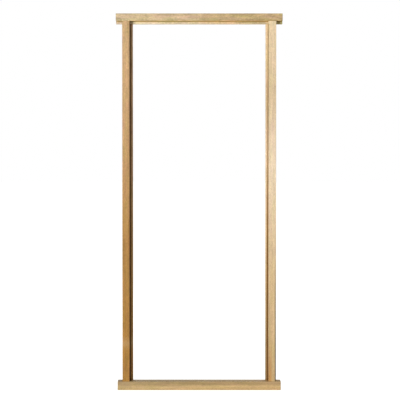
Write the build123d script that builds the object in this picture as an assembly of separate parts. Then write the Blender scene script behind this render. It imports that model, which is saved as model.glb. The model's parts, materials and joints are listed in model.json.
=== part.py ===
from build123d import *
import os
from math import radians, tan

# External oak door frame: a rebated head on two rebated jambs, on a weathered sill.
# Millimetres, +Z up. The origin is the middle of the sill's underside. The rebated side,
# where the door leaf goes in, faces -Y, and the nose of the sill faces +Y.

# Door leaf that the frame takes, and the gaps round it
leaf_width = 762.0
leaf_height = 1981.0
leaf_thickness = 44.0
side_gap = 2.0
top_gap = 3.0
bottom_gap = 6.0
seal_gap = 3.5  # from the leaf to the stop, where a weatherseal is squeezed

# Head and jambs, all of one rebated section
section_depth = 94.0  # through the wall
face_width = 41.0  # timber beside the leaf
stop_rise = 16.0  # how far the stop stands in from the rebate
arris = 2.0  # rounding of the long edges

# Kerf for the weatherseal, in the corner of the rebate
kerf_width = 3.5
kerf_depth = 7.0

# Sill
sill_depth = 145.0
sill_thickness = 48.0
weathering = 9.0  # fall of the outer part, in degrees
nose_round = 5.0
throat_radius = 4.0  # drip groove under the nose
throat_inset = 14.0  # from the nose to the middle of the drip groove

# Horns, which run on past the jambs
head_horn = 35.0
sill_horn = 27.0
end_easing = 1.0  # bevel round the sawn ends

# Wedged through tenons at the four corners
tenon_thickness = 20.0
tenon_setback = 2.0  # from the bottom of the kerf to the cheek of the tenon
edge_shoulder = 3.0  # at each edge of the tenon, which hides the end of the mortice
joint_clearance = 0.1  # between a cheek of the tenon and the mortice
mortice_straight = 14.0  # length of the mortice before it flares for the wedges
wedge_thickness = 6.0  # at its driven end
wedge_tip = 1.0  # thickness of its thin end

# Places through the wall
front_y = -sill_depth / 2
stop_y = front_y + leaf_thickness + seal_gap
back_y = front_y + section_depth
nose_y = sill_depth / 2
tenon_y = stop_y + kerf_depth + tenon_setback + tenon_thickness / 2

# Places across the opening, for the right-hand side
rebate_x = leaf_width / 2 + side_gap
stop_x = rebate_x - stop_rise
outer_x = rebate_x + face_width
tenon_inner_x = stop_x + edge_shoulder
tenon_outer_x = outer_x - edge_shoulder

# Heights
rebate_z = sill_thickness + bottom_gap + leaf_height + top_gap
stop_z = rebate_z - stop_rise
top_z = rebate_z + face_width


def outline(*corners):
    """Closed face through (u, v, rounding) corners."""
    points = [(u, v) for u, v, rounding in corners]
    return make_face(FilletPolyline(*points, radius=[c[2] for c in corners], close=True))


def rebated_section():
    """Section of the head and the jambs: u runs inwards from the wall face, v through the wall."""
    stop_u = face_width + stop_rise
    return outline(
        (0, front_y, arris),
        (face_width, front_y, arris),
        (face_width, stop_y + kerf_depth, 0),
        (face_width + kerf_width, stop_y + kerf_depth, 0),
        (face_width + kerf_width, stop_y, 0),
        (stop_u, stop_y, arris),
        (stop_u, back_y, arris),
        (0, back_y, arris),
    )


def sill_section():
    """Section of the sill: u runs through the wall, v up."""
    nose_height = sill_thickness - (nose_y - back_y) * tan(radians(weathering))
    section = outline(
        (front_y, 0, arris),
        (front_y, sill_thickness, arris),
        (back_y, sill_thickness, 0),
        (nose_y, nose_height, nose_round),
        (nose_y, 0, arris),
    )
    return section - Pos(nose_y - throat_inset, 0) * Circle(throat_radius)


def across_wall(face, thickness):
    """Solid from a face drawn in (x, z), centred on the tenons' mid-plane."""
    return extrude(Plane.XZ.offset(-tenon_y) * face, thickness / 2, both=True)


def flared_mortice(shoulder_z, outer_z):
    """Right-hand mortice, flared at its outer end to take a wedge on each side."""
    flare_z = shoulder_z + mortice_straight * (1 if outer_z > shoulder_z else -1)
    profile = Polyline(
        (tenon_inner_x, shoulder_z),
        (tenon_outer_x, shoulder_z),
        (tenon_outer_x, flare_z),
        (tenon_outer_x + wedge_thickness, outer_z),
        (tenon_inner_x - wedge_thickness, outer_z),
        (tenon_inner_x, flare_z),
        close=True,
    )
    return across_wall(make_face(profile), tenon_thickness + 2 * joint_clearance)


def wedge(edge_x, side, shoulder_z, outer_z):
    """Wedge against the tenon's edge at edge_x, on the side that side's sign gives."""
    up = 1 if outer_z > shoulder_z else -1
    flare_length = abs(outer_z - shoulder_z) - mortice_straight
    length = flare_length * (1 - wedge_tip / wedge_thickness)
    profile = Polyline(
        (edge_x, outer_z),
        (edge_x + side * wedge_thickness, outer_z),
        (edge_x + side * wedge_tip, outer_z - up * length),
        (edge_x, outer_z - up * length),
        close=True,
    )
    return across_wall(make_face(profile), tenon_thickness)


def build_jamb():
    """Right-hand jamb, with long and short shoulders under the head."""
    place = Plane(origin=(outer_x, 0, sill_thickness), x_dir=(-1, 0, 0), z_dir=(0, 0, -1))
    post = extrude(place * rebated_section(), sill_thickness - rebate_z)
    short_shoulder = Pos((stop_x + outer_x) / 2, stop_y, stop_z) * Box(
        face_width + stop_rise,
        back_y - stop_y,
        stop_rise,
        align=(Align.CENTER, Align.MIN, Align.MIN),
    )
    tenon_width = tenon_outer_x - tenon_inner_x
    tenon = Pos(tenon_inner_x, 0) * Rectangle(tenon_width, top_z, align=(Align.MIN, Align.MIN))
    return post - short_shoulder + across_wall(tenon, tenon_thickness)


def eased_board(section, place, length):
    """Board along X, with a fine bevel round each of its two ends."""
    board = extrude(place * section, length)
    ends = board.faces().sort_by(Axis.X)
    return chamfer([*ends[0].edges(), *ends[-1].edges()], end_easing)


def build_head():
    """Head, rebated right through its horns, with a mortice over each jamb."""
    length = 2 * (outer_x + head_horn)
    place = Plane(origin=(-length / 2, 0, top_z), x_dir=(0, 0, -1), z_dir=(1, 0, 0))
    mortice = flared_mortice(stop_z, top_z)
    return eased_board(rebated_section(), place, length) - mortice - mirror(mortice, Plane.YZ)


def build_sill():
    """Sill, weathered outside the jambs, with a mortice under each jamb."""
    length = 2 * (outer_x + sill_horn)
    place = Plane(origin=(-length / 2, 0, 0), x_dir=(0, 1, 0), z_dir=(1, 0, 0))
    mortice = flared_mortice(sill_thickness, 0)
    return eased_board(sill_section(), place, length) - mortice - mirror(mortice, Plane.YZ)


def build_nodes():
    """Every piece of the frame by its node name. Left is -X, as seen from the rebated side."""
    nodes = {"head": build_head(), "sill": build_sill(), "jamb_right": build_jamb()}
    for member, shoulder_z, outer_z in (("head", stop_z, top_z), ("sill", sill_thickness, 0)):
        inner = wedge(tenon_inner_x, -1, shoulder_z, outer_z)
        outer = wedge(tenon_outer_x, 1, shoulder_z, outer_z)
        nodes[f"wedge_{member}_right_inner"] = inner
        nodes[f"wedge_{member}_right_outer"] = outer
    for name in [name for name in nodes if "right" in name]:
        nodes[name.replace("right", "left")] = mirror(nodes[name], Plane.YZ)
    return nodes


os.makedirs("parts", exist_ok=True)
for name, solid in build_nodes().items():
    export_step(solid, f"parts/{name}.step")
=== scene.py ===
import json
from dataclasses import dataclass
from math import atan, cos, radians, sin

import bpy
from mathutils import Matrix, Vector


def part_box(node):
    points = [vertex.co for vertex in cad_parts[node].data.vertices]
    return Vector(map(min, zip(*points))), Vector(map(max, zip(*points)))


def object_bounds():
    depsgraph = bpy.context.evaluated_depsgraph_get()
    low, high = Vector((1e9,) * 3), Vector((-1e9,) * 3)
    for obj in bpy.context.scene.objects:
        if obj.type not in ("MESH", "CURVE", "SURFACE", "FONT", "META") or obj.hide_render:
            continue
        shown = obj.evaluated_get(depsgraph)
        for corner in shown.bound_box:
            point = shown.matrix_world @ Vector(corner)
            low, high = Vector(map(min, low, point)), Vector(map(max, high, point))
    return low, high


# An oak door frame: its boards' grain, tone and finish, the light and the camera.
# Metres, in the frame of the model: +Z up, the rebated side faces -Y.

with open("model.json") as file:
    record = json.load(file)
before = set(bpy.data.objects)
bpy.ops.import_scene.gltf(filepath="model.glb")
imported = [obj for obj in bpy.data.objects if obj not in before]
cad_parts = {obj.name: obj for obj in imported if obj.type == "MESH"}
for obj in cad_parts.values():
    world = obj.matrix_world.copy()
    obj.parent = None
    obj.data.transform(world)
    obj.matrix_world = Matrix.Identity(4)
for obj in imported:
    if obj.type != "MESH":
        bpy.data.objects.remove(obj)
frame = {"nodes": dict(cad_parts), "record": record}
cad_low, cad_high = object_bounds()
nodes = frame["nodes"]
front_y = cad_low.y
height = cad_high.z

# Corners of the rebate and of the stop, from the openings that the record states
openings = {entry["name"]: entry["box_m"] for entry in frame["record"]["physics"]["openings"]}
rebate_x, stop_y, rebate_z = openings["leaf_rebate"][1]
stop_x = openings["doorway"][1][0]
outer_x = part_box("jamb_right")[1].x

# Photograph, in pixels of its 400 x 400 frame
PHOTO_SIZE = 400
MIDDLE_PX = (199.2, 202.28)  # middle of the frame's front
METRES_PER_PX = 0.00551  # at the front of the frame

# Camera
CAMERA_DISTANCE = 12.2  # from the front of the frame
CAMERA_HEIGHT = 1.5
SENSOR = 36.0  # mm
SHIFT_DOWN = 0.03  # of the picture's width

# Lamps. An azimuth is in degrees round the frame from the camera, to its left. A distance is
# from the middle of the frame's front, in plan. A size is a diameter, and power is in watts.
LAMPS = {
    "key": dict(azimuth=26.0, distance=7.0, lamp_height=1.0, size=1.25, power=330.0),
    "back": dict(azimuth=206.0, distance=7.0, lamp_height=2.6, size=2.5, power=120.0),
}
AMBIENT = (0.38, 0.37, 0.33)  # light on the frame from all round
WHITE = (1, 1, 1, 1)

# Floor
FLOOR_RADIUS = 40.0
FLOOR_CORNERS = 96
FLOOR_ALBEDO = 0.8
FLOOR_GLOW = 0.8  # what the camera sees on top of the floor's own shade

# Oak, in millimetres. A cell is the size of a noise's blobs along, across and through the grain.
MM = 1000  # in a metre
WANDER_CELL = (650, 90, 90)
WANDER_REACH = 34  # how far the log's pith wanders
WAVE_CELL = (70, 5, 5)
WAVE_REACH = 1.4  # how far the fibres wave
RING_WIDTH = 2.9
DRIFT_SPAN = 22  # growth over which the rings' width changes
DRIFT_RINGS = 5.0  # how many rings that adds at most
EARLY_END = 0.62  # share of a ring at which its early wood has faded out
LATE_END = 0.9  # share of a ring at which the next early wood starts
PORE_CELL = (9.0, 0.34, 0.34)
PORE_RAMP = (0.55, 0.66)  # values of the noise at which a pore starts and is full
PORES_LATE = 0.2  # strength of the pores in the late wood
PORES_EARLY = 0.75  # what the early wood adds to it
FIBRE_CELL = (55, 0.9, 0.9)
RAY_HEIGHT = 26.0
RAY_WIDTH = 0.5
RAY_DEPTH = 13.0
RAY_RAMP = (0.6, 0.7)
KNOT_CELL = 100.0  # each cell of the log's surface may hold one knot
KNOT_SHARE = 0.06  # of the cells
KNOT_SIZE = 3.2
KNOT_SWELL = 5.0  # how far the rings swell round a knot
SWELL_SIZES = 7  # how many knot sizes away the swelling ends
LOG_RADIUS = 150.0  # where a cell is as wide as it is long
LOG_STEP = 2500  # along the log, from one board's oak to the next board's
END_RAMP = (0.4, 0.75)  # how far a face looks along the grain where end grain starts and is full

# Variation of the tone about 1, and of its hue, for a board whose figure is 1
STREAK_CELL, STREAK_GAIN = (380, 24, 24), 0.08
BLOTCH_CELL, BLOTCH_GAIN = (70, 17, 17), 0.09
MOTTLE_CELL, MOTTLE_GAIN = (11, 6, 6), 0.09
FIBRE_GAIN = 0.07
HUE_CELL = (130, 24, 24)
HUE_GAIN = (0.03, -0.01, 0.075)  # from pink on one side of the tone to olive on the other

# Tints of the oak's features, with their strength where it is below 1
EARLY_TINT, EARLY_STRENGTH = (0.78, 0.68, 0.55), 0.5
RAY_TINT = (1.1, 1.09, 1.05)
PORE_TINT, PORE_STRENGTH = (0.42, 0.32, 0.22), 0.75
HEART_TINT = (0.3, 0.2, 0.13)
END_TINT = (0.52, 0.44, 0.36)

# Surface
ROUGHNESS = 0.52
EARLY_ROUGHNESS = 0.08  # what the early wood, a ray and a pore add to it
RAY_ROUGHNESS = -0.08
PORE_ROUGHNESS = 0.2
GLOSS = 0.2
BUMP_DEPTH = 0.0003  # metres
BUMP_STRENGTH = 0.8
FIBRE_RELIEF = 0.35  # of the depth of a pore
EARLY_RELIEF = -0.25

# Tints of the painted lines, most of them painted shade and painted light. Above 1 they lighten.
DARK = (0.06, 0.03, 0.002)
UMBER = (0.27, 0.17, 0.04)
GREY = (0.16, 0.15, 0.11)
OLIVE = (0.36, 0.34, 0.2)
SAND = (0.8, 0.72, 0.55)
BROWN = (0.95, 0.68, 0.4)
CORNER_SHADE = (0.3, 0.19, 0.06)
AMBER = (0.69, 0.61, 0.25)
STRAW = (0.99, 0.89, 0.76)
PALE = (1.02, 1.08, 1.28)
DUN = (0.73, 0.84, 0.93)
PAINTED_LIGHT = (1.6, 1.8, 2.4)
PAINTED_LINE_CORE = 0.3  # share of a painted line's reach over which it keeps its full strength


def linear(red, green, blue):
    """Scene-linear colour of an 8-bit sRGB one."""
    def channel(value):
        value /= 255
        return value / 12.92 if value <= 0.04045 else ((value + 0.055) / 1.055) ** 2.4
    return (channel(red), channel(green), channel(blue), 1.0)


@dataclass
class PaintedLine:
    """Line along a board where a tint is painted on the wood; most such lines are painted shade
    and painted light.
    """
    across: float  # place across the board's face, X or Z
    through: float  # place through the wall, Y
    reach: float  # in mm
    low: float  # strength towards the low end
    high: float  # strength towards the high end
    tint: tuple
    between: tuple = (0.0, 0.6)  # shares of the length between which the strength changes


@dataclass
class Board:
    """Looks of one board. Its low end is the left one or the foot. Its low side is the lower one
    of the head and the sill, and the left one of a jamb."""
    along: int  # axis of the grain, 0 for X and 2 for Z
    tones: tuple  # (share of the length from the low end, colour)
    pith: tuple  # from the middle of the section, in mm: (across the face, through the wall)
    figure: float = 1.0  # strength of its streaks and blotches
    shade: tuple = (1.0, 1.0, 0.0, 1.0)  # painted light and shade across: factor at the low side, at the high side, shares between
    painted_lines: tuple = ()


BOARDS = {
    "head": Board(
        along=0,
        tones=(
            (0.0, linear(206, 187, 151)),
            (0.42, linear(202, 181, 143)),
            (0.5, linear(206, 185, 146)),
            (0.53, linear(197, 174, 133)),
            (0.63, linear(197, 173, 133)),
            (0.7, linear(202, 178, 136)),
            (0.96, linear(199, 174, 130)),
            (1.0, linear(180, 162, 113)),
        ),
        pith=(-30, 150),
        figure=2.55,
        # Painted light: the lower side, with the stop strip and the soffit, lighter than the front
        shade=(1.26, 1.0, 0.22, 0.38),
        painted_lines=(
            # Painted shade in the rebate's corner under the head's front
            PaintedLine(rebate_z - 0.001, stop_y + 0.005, 9, 0.95, 1.0, AMBER),
            # Painted shade, yellowish, along the lower front arris
            PaintedLine(rebate_z, front_y, 6, 0.3, 1.0, STRAW, between=(0.0, 0.12)),
            # Painted shadow along the lower front arris of the right horn
            PaintedLine(rebate_z, front_y, 6, 0.0, 0.45, GREY, between=(0.93, 0.96)),
            # Painted light, bluish, on the stop strip's left half
            PaintedLine(rebate_z - 0.012, stop_y, 15, 1.0, 0.0, PALE, between=(0.5, 0.75)),
            # The stop strip greyer and darker towards the right end
            PaintedLine(rebate_z - 0.012, stop_y, 15, 0.0, 1.0, DUN, between=(0.62, 0.9)),
        ),
    ),
    "sill": Board(
        along=0,
        tones=(
            (0.0, linear(195, 170, 125)),
            (0.5, linear(206, 178, 129)),
            (1.0, linear(218, 187, 137)),
        ),
        pith=(-160, 40),
        figure=1.2,
        # Painted shade: the top darker than the front
        shade=(1.02, 0.72, 0.35, 0.85),
    ),
    "jamb_left": Board(
        along=2,
        tones=(
            (0.0, linear(172, 126, 61)),
            (0.105, linear(172, 127, 61)),
            (0.125, linear(184, 146, 92)),
            (0.145, linear(172, 127, 62)),
            (0.4, linear(176, 134, 73)),
            (0.7, linear(198, 160, 114)),
            (1.0, linear(207, 174, 132)),
        ),
        pith=(105, 120),
        figure=1.8,
        painted_lines=(
            # Painted shadow in the rebate's corner, on the stop next to the rebate's wall
            PaintedLine(-rebate_x, stop_y + 0.001, 7.6, 1.0, 1.0, DARK),
            # Painted shade over the rebate's wall and its corners
            PaintedLine(-rebate_x, (front_y + stop_y) / 2, 28, 1.0, 0.9, UMBER),
            # Painted shade on the front's arris at the rebate
            PaintedLine(-rebate_x, front_y, 5.5, 0.8, 0.6, UMBER),
            # Painted light on the shaded stop face, stronger towards the foot
            PaintedLine(-rebate_x + 0.0085, stop_y, 6, 0.75, 0.0, PAINTED_LIGHT, between=(0.35, 0.9)),
        ),
    ),
    "jamb_right": Board(
        along=2,
        tones=(
            (0.0, linear(203, 175, 128)),
            (0.3, linear(226, 199, 157)),
            (0.6, linear(249, 229, 201)),
            (0.78, linear(227, 205, 169)),
            (1.0, linear(247, 226, 190)),
        ),
        pith=(-150, 60),
        figure=1.1,
        painted_lines=(
            # Painted shade in the rebate's corner, stronger towards the foot
            PaintedLine(rebate_x - 0.005, stop_y, 6.5, 1.0, 0.2, CORNER_SHADE, between=(0.35, 0.95)),
            # Painted shade on the recessed stop face, stronger towards the foot
            PaintedLine((rebate_x + stop_x) / 2, stop_y, 20, 0.5, 0.3, SAND),
            # Darker along the stop's inner edge towards the foot
            PaintedLine(stop_x, stop_y, 7, 1.0, 0.0, OLIVE, between=(0.05, 0.45)),
            # Painted shade on the outer front arris, stronger towards the foot
            PaintedLine(outer_x, front_y, 9, 0.95, 0.0, GREY, between=(0.05, 0.5)),
            # Darker round the rebate's front arris near the foot
            PaintedLine(rebate_x, front_y, 28, 0.85, 0.0, BROWN, between=(0.0, 0.17)),
        ),
    ),
}
WEDGE = Board(
    along=2,
    tones=((0.0, linear(186, 150, 103)), (1.0, linear(190, 155, 108))),
    pith=(60, 90),
)


class Graph:
    """Adds nodes to a shader tree. An input may be a number, a colour, a vector or an output."""

    def __init__(self, tree):
        self.tree = tree
        tree.nodes.clear()

    def add(self, kind, inputs=(), output=0, **settings):
        """New node's output, or the node itself if it has none."""
        node = self.tree.nodes.new(kind)
        for name, value in settings.items():
            setattr(node, name, value)
        for socket, value in dict(inputs).items():
            if isinstance(value, bpy.types.NodeSocket):
                self.tree.links.new(value, node.inputs[socket])
            else:
                node.inputs[socket].default_value = value
        return node.outputs[output] if node.outputs else node

    def math(self, operation, *values):
        return self.add("ShaderNodeMath", dict(enumerate(values)), operation=operation)

    def vector(self, operation, *values, output=0):
        inputs = dict(enumerate(values))
        return self.add("ShaderNodeVectorMath", inputs, output, operation=operation)

    def scaled(self, vector, factor):
        inputs = {0: vector, "Scale": factor}
        return self.add("ShaderNodeVectorMath", inputs, operation="SCALE")

    def split(self, vector):
        """X, Y and Z of a vector."""
        return self.add("ShaderNodeSeparateXYZ", {0: vector}).node.outputs[:]

    def join(self, x, y, z=0.0):
        return self.add("ShaderNodeCombineXYZ", {0: x, 1: y, 2: z})

    def share_between(self, value, start, end):
        """How far value is on its way from start to end."""
        return self.add("ShaderNodeMapRange", {0: value, 1: start, 2: end})

    def ramp_between(self, value, start, end, low=0.0, high=1.0):
        """Value eased from low at start to high at end."""
        inputs = {0: value, 1: start, 2: end, 3: low, 4: high}
        return self.add("ShaderNodeMapRange", inputs, interpolation_type="SMOOTHSTEP")

    def noise(self, point, cell, detail=2.0, output=0):
        """Noise whose blobs measure about cell."""
        return self.plain_noise(self.vector("DIVIDE", point, cell), detail, output)

    def plain_noise(self, point, detail, output=0):
        """Noise whose blobs measure about 1."""
        inputs = {"Vector": point, "Scale": 1.0, "Detail": detail}
        return self.add("ShaderNodeTexNoise", inputs, output)

    def about_zero(self, noise, gain):
        """Noise, which keeps to about 0.25 to 0.75, as a value between -gain and gain."""
        return self.add("ShaderNodeMapRange", {0: noise, 1: 0.25, 2: 0.75, 3: -gain, 4: gain})

    def swayed(self, point, cell, reach):
        """Point moved sideways by noise, by up to reach in all."""
        sway = self.vector("SUBTRACT", self.noise(point, cell, output="Color"), (0.5, 0.5, 0.5))
        return self.vector("ADD", point, self.vector("MULTIPLY", sway, (0, reach, reach)))

    def mix(self, factor, first, second, blend="MIX"):
        """Mix of two colours, which are inputs 6 and 7 and output 2 of the node."""
        inputs = {"Factor": factor, 6: first, 7: second}
        return self.add("ShaderNodeMix", inputs, 2, data_type="RGBA", blend_type=blend)

    def tint(self, colour, factor, by):
        """Colour multiplied by another one, as far as factor says."""
        return self.mix(factor, colour, (*by, 1.0), "MULTIPLY")


def knots(g, along, angle):
    """Pin knots that run out from the pith: how dark the heart is, and how far the rings swell."""
    around = g.math("MULTIPLY", angle, LOG_RADIUS / KNOT_CELL)
    inputs = {"Vector": g.join(g.math("DIVIDE", along, KNOT_CELL), around), "Scale": 1.0}
    cell = g.add("ShaderNodeTexVoronoi", inputs, voronoi_dimensions="2D").node
    has_knot = g.math("GREATER_THAN", g.split(cell.outputs["Color"])[0], 1 - KNOT_SHARE)
    from_heart = g.math("MULTIPLY", cell.outputs["Distance"], KNOT_CELL)
    heart = g.ramp_between(from_heart, 0.5 * KNOT_SIZE, KNOT_SIZE, 1.0, 0.0)
    swell = g.ramp_between(from_heart, 0.0, SWELL_SIZES * KNOT_SIZE, KNOT_SWELL, 0.0)
    return g.math("MULTIPLY", has_knot, heart), g.math("MULTIPLY", has_knot, swell)


def early_wood(g, grown):
    """Strength of the early wood, which starts sharply at each ring and fades into the late."""
    inputs = {"W": g.math("DIVIDE", grown, DRIFT_SPAN), "Detail": 1.0}
    drift = g.add("ShaderNodeTexNoise", inputs, noise_dimensions="1D")
    drift = g.math("MULTIPLY", drift, DRIFT_RINGS)
    ring = g.math("FRACT", g.math("ADD", g.math("DIVIDE", grown, RING_WIDTH), drift))
    fading = g.ramp_between(ring, 0.0, EARLY_END, 1.0, 0.0)
    return g.math("MAXIMUM", fading, g.ramp_between(ring, LATE_END, 1.0))


def varied(g, tone, point, figure, fibre):
    """Tone with long streaks, blotches and fibres, and a hue that swings to pink and olive."""
    streak = g.about_zero(g.noise(point, STREAK_CELL, 3.0), STREAK_GAIN)
    blotch = g.about_zero(g.noise(point, BLOTCH_CELL, 3.0), BLOTCH_GAIN)
    mottle = g.about_zero(g.noise(point, MOTTLE_CELL), MOTTLE_GAIN)
    shade = g.math("ADD", g.math("ADD", streak, blotch), mottle)
    shade = g.math("ADD", g.math("MULTIPLY", shade, figure), 1.0)
    shade = g.math("ADD", shade, g.about_zero(fibre, FIBRE_GAIN))
    hue = g.math("MULTIPLY", g.about_zero(g.noise(point, HUE_CELL), 1.0), figure)
    hue = g.vector("MULTIPLY_ADD", hue, HUE_GAIN, (1, 1, 1))
    return g.scaled(g.vector("MULTIPLY", tone, hue), shade)


def oak_group():
    """Solid oak, with growth rings round a pith, knots, open pores, fibres and rays."""
    tree = bpy.data.node_groups.new("oak", "ShaderNodeTree")
    sockets = {
        "INPUT": {
            "Grain": "Vector", "Pith": "Vector", "Tone": "Color", "Figure": "Float", "End": "Float"
        },
        "OUTPUT": {"Colour": "Color", "Roughness": "Float", "Height": "Float"},
    }
    for in_out, kinds in sockets.items():
        for name, kind in kinds.items():
            tree.interface.new_socket(name, in_out=in_out, socket_type=f"NodeSocket{kind}")
    g = Graph(tree)
    source = tree.nodes.new("NodeGroupInput").outputs
    point = source["Grain"]

    # Distance from the pith, which wanders along the board, and angle round it
    wandering = g.swayed(g.swayed(point, WANDER_CELL, WANDER_REACH), WAVE_CELL, WAVE_REACH)
    along, across, through = g.split(g.vector("SUBTRACT", wandering, source["Pith"]))
    radius = g.vector("LENGTH", g.join(across, through), output="Value")
    angle = g.math("ARCTAN2", through, across)

    heart, swell = knots(g, along, angle)
    early = early_wood(g, g.math("ADD", radius, swell))
    pore = g.ramp_between(g.noise(point, PORE_CELL, 1.0), *PORE_RAMP)
    pore_share = g.math("ADD", g.math("MULTIPLY", early, PORES_EARLY), PORES_LATE)
    pore = g.math("MULTIPLY", pore, pore_share)
    fibre = g.noise(point, FIBRE_CELL, 3.0)
    sheets = g.join(
        g.math("DIVIDE", along, RAY_HEIGHT),
        g.math("MULTIPLY", angle, LOG_RADIUS / RAY_WIDTH),
        g.math("DIVIDE", radius, RAY_DEPTH),
    )
    ray = g.ramp_between(g.plain_noise(sheets, 1.0), *RAY_RAMP)

    colour = varied(g, source["Tone"], point, source["Figure"], fibre)
    colour = g.tint(colour, g.math("MULTIPLY", early, EARLY_STRENGTH), EARLY_TINT)
    colour = g.tint(colour, ray, RAY_TINT)
    colour = g.tint(colour, g.math("MULTIPLY", pore, PORE_STRENGTH), PORE_TINT)
    colour = g.tint(colour, heart, HEART_TINT)
    colour = g.tint(colour, source["End"], END_TINT)

    early_rough = g.math("MULTIPLY", early, EARLY_ROUGHNESS)
    rough = g.math("ADD", early_rough, g.math("MULTIPLY", ray, RAY_ROUGHNESS))
    rough = g.math("ADD", rough, g.math("MULTIPLY", pore, PORE_ROUGHNESS))
    rough = g.math("ADD", rough, ROUGHNESS)
    fibre_relief = g.math("MULTIPLY", fibre, FIBRE_RELIEF)
    relief = g.math("ADD", fibre_relief, g.math("MULTIPLY", early, EARLY_RELIEF))
    relief = g.math("SUBTRACT", relief, pore)
    out = tree.nodes.new("NodeGroupOutput")
    for value, socket in zip((colour, rough, relief), out.inputs):
        tree.links.new(value, socket)
    return tree


def tone_along(g, share, tones):
    """Colour that runs through the board's tones from its low end to its high end."""
    ramp = g.add("ShaderNodeValToRGB", {0: share})
    stops = ramp.node.color_ramp.elements
    while len(stops) < len(tones):
        stops.new(0.5)
    for stop, (position, colour) in zip(stops, tones):
        stop.position = position
        stop.color = colour
    return ramp


def with_painted_lines(g, tone, board, place, share, middle):
    """Tone with the board's painted lines on it, most of them painted shade and painted light."""
    side = 2 - board.along
    for mark in board.painted_lines:
        line = g.join(
            g.math("SUBTRACT", place[side], mark.across - middle[side]),
            g.math("SUBTRACT", place[1], mark.through - middle.y),
        )
        away = g.vector("LENGTH", line, output="Value")
        near = g.ramp_between(away, PAINTED_LINE_CORE * mark.reach / MM, mark.reach / MM, 1.0, 0.0)
        strength = g.ramp_between(share, *mark.between, mark.low, mark.high)
        tone = g.tint(tone, g.math("MULTIPLY", near, strength), mark.tint)
    return tone


def board_tone(g, board, place, low, high):
    """Tone of a board's wood along its length, with painted light and shade across its face, and
    its painted lines.
    """
    side = 2 - board.along
    half_length = (high[board.along] - low[board.along]) / 2
    half_width = (high[side] - low[side]) / 2
    share = g.share_between(place[board.along], -half_length, half_length)
    side_share = g.share_between(place[side], -half_width, half_width)
    # Painted light and shade across the face, by the board's shade factors
    low_factor, high_factor, start, end = board.shade
    factor = g.ramp_between(side_share, start, end, low_factor, high_factor)
    tone = g.scaled(tone_along(g, share, board.tones), factor)
    return with_painted_lines(g, tone, board, place, share, (low + high) / 2)


def oak_material(piece, board, shift):
    """Oak for one board. shift is how far along the log it was cut, in mm."""
    low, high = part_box(piece)
    material = bpy.data.materials.new(f"oak_{piece}")
    material.use_nodes = True
    g = Graph(material.node_tree)
    position = g.add("ShaderNodeTexCoord", output="Object")
    place = g.split(g.vector("SUBTRACT", position, tuple((low + high) / 2)))
    grain = g.join(place[board.along], place[2 - board.along], place[1])
    grain = g.vector("ADD", g.vector("MULTIPLY", grain, (MM, MM, MM)), (shift, 0, 0))
    facing = g.split(g.add("ShaderNodeTexCoord", output="Normal"))
    end_grain = g.ramp_between(g.math("ABSOLUTE", facing[board.along]), *END_RAMP)

    oak = g.tree.nodes.new("ShaderNodeGroup")
    oak.node_tree = bpy.data.node_groups["oak"]
    g.tree.links.new(grain, oak.inputs["Grain"])
    g.tree.links.new(board_tone(g, board, place, low, high), oak.inputs["Tone"])
    g.tree.links.new(end_grain, oak.inputs["End"])
    oak.inputs["Figure"].default_value = board.figure
    oak.inputs["Pith"].default_value = (0, *board.pith)
    bump = g.add(
        "ShaderNodeBump",
        {"Height": oak.outputs["Height"], "Distance": BUMP_DEPTH, "Strength": BUMP_STRENGTH},
    )
    surface = g.add(
        "ShaderNodeBsdfPrincipled",
        {
            "Base Color": oak.outputs["Colour"],
            "Roughness": oak.outputs["Roughness"],
            "Normal": bump,
            "Specular IOR Level": GLOSS,
        },
    )
    g.add("ShaderNodeOutputMaterial", {"Surface": surface})
    return material


def dress_boards():
    """Gives each board and wedge its own stretch of oak."""
    oak_group()
    for number, name in enumerate(sorted(nodes)):
        material = oak_material(name, BOARDS.get(name, WEDGE), LOG_STEP * number)
        nodes[name].data.materials.clear()
        nodes[name].data.materials.append(material)


def seen_directly(g):
    """One for rays straight from the camera and for those that it sees in gloss or glass."""
    path = g.tree.nodes.new("ShaderNodeLightPath").outputs
    seen = g.math("MAXIMUM", path["Is Camera Ray"], path["Is Glossy Ray"])
    return g.math("MAXIMUM", seen, path["Is Transmission Ray"])


def build_surroundings():
    """White world, which lights the frame with the ambient light."""
    world = bpy.data.worlds.new("studio")
    world.use_nodes = True
    bpy.context.scene.world = world
    g = Graph(world.node_tree)
    colour = g.mix(seen_directly(g), (*AMBIENT, 1), WHITE)
    sky = g.add("ShaderNodeBackground", {"Color": colour, "Strength": 1.0})
    g.add("ShaderNodeOutputWorld", {"Surface": sky})


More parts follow.
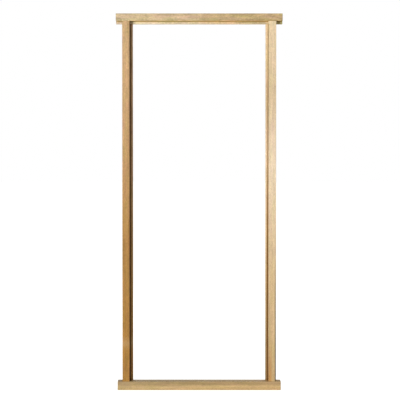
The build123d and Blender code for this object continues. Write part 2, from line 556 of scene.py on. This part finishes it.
def build_floor():
    """Pale floor, which looks white and keeps the frame's shadow."""
    bpy.ops.mesh.primitive_circle_add(
        vertices=FLOOR_CORNERS, radius=FLOOR_RADIUS, fill_type="NGON"
    )
    floor = bpy.context.object
    floor.name = "floor"
    material = bpy.data.materials.new("floor")
    material.use_nodes = True
    g = Graph(material.node_tree)
    shade = g.add("ShaderNodeBsdfDiffuse", {"Color": (FLOOR_ALBEDO,) * 3 + (1,)})
    strength = g.math("MULTIPLY", seen_directly(g), FLOOR_GLOW)
    glow = g.add("ShaderNodeEmission", {"Strength": strength})
    surface = g.add("ShaderNodeAddShader", {0: shade, 1: glow})
    g.add("ShaderNodeOutputMaterial", {"Surface": surface})
    floor.data.materials.append(material)


def soft_lamp(name, azimuth, distance, lamp_height, size, power):
    """Round lamp that looks at the middle of the frame."""
    data = bpy.data.lights.new(name, "AREA")
    data.shape = "DISK"
    data.size = size
    data.energy = power
    lamp = bpy.data.objects.new(name, data)
    bpy.context.scene.collection.objects.link(lamp)
    angle = radians(azimuth)
    lamp.location = (-sin(angle) * distance, front_y - cos(angle) * distance, lamp_height)
    aim = Vector((0, front_y, height / 2))
    lamp.rotation_euler = (aim - lamp.location).to_track_quat("-Z", "Y").to_euler()


def build_camera():
    """Camera in front of the rebated side, tipped so that the middle falls on its pixel."""
    data = bpy.data.cameras.new("camera")
    focal_px = CAMERA_DISTANCE / METRES_PER_PX
    data.sensor_width = SENSOR
    data.lens = focal_px * SENSOR / PHOTO_SIZE
    data.shift_y = -SHIFT_DOWN
    data.clip_end = 4 * FLOOR_RADIUS
    camera = bpy.data.objects.new("camera", data)
    bpy.context.scene.collection.objects.link(camera)
    side = (PHOTO_SIZE / 2 - MIDDLE_PX[0]) * METRES_PER_PX
    camera.location = (side, front_y - CAMERA_DISTANCE, CAMERA_HEIGHT)
    below_axis = MIDDLE_PX[1] - PHOTO_SIZE / 2 + SHIFT_DOWN * PHOTO_SIZE
    down_to_middle = atan((CAMERA_HEIGHT - height / 2) / CAMERA_DISTANCE)
    look_down = down_to_middle - atan(below_axis / focal_px)
    camera.rotation_euler = (radians(90) - look_down, 0, 0)
    bpy.context.scene.camera = camera


dress_boards()
build_surroundings()
build_floor()
for name, lamp in LAMPS.items():
    soft_lamp(name, **lamp)
build_camera()
bpy.context.scene.view_settings.view_transform = "Standard"
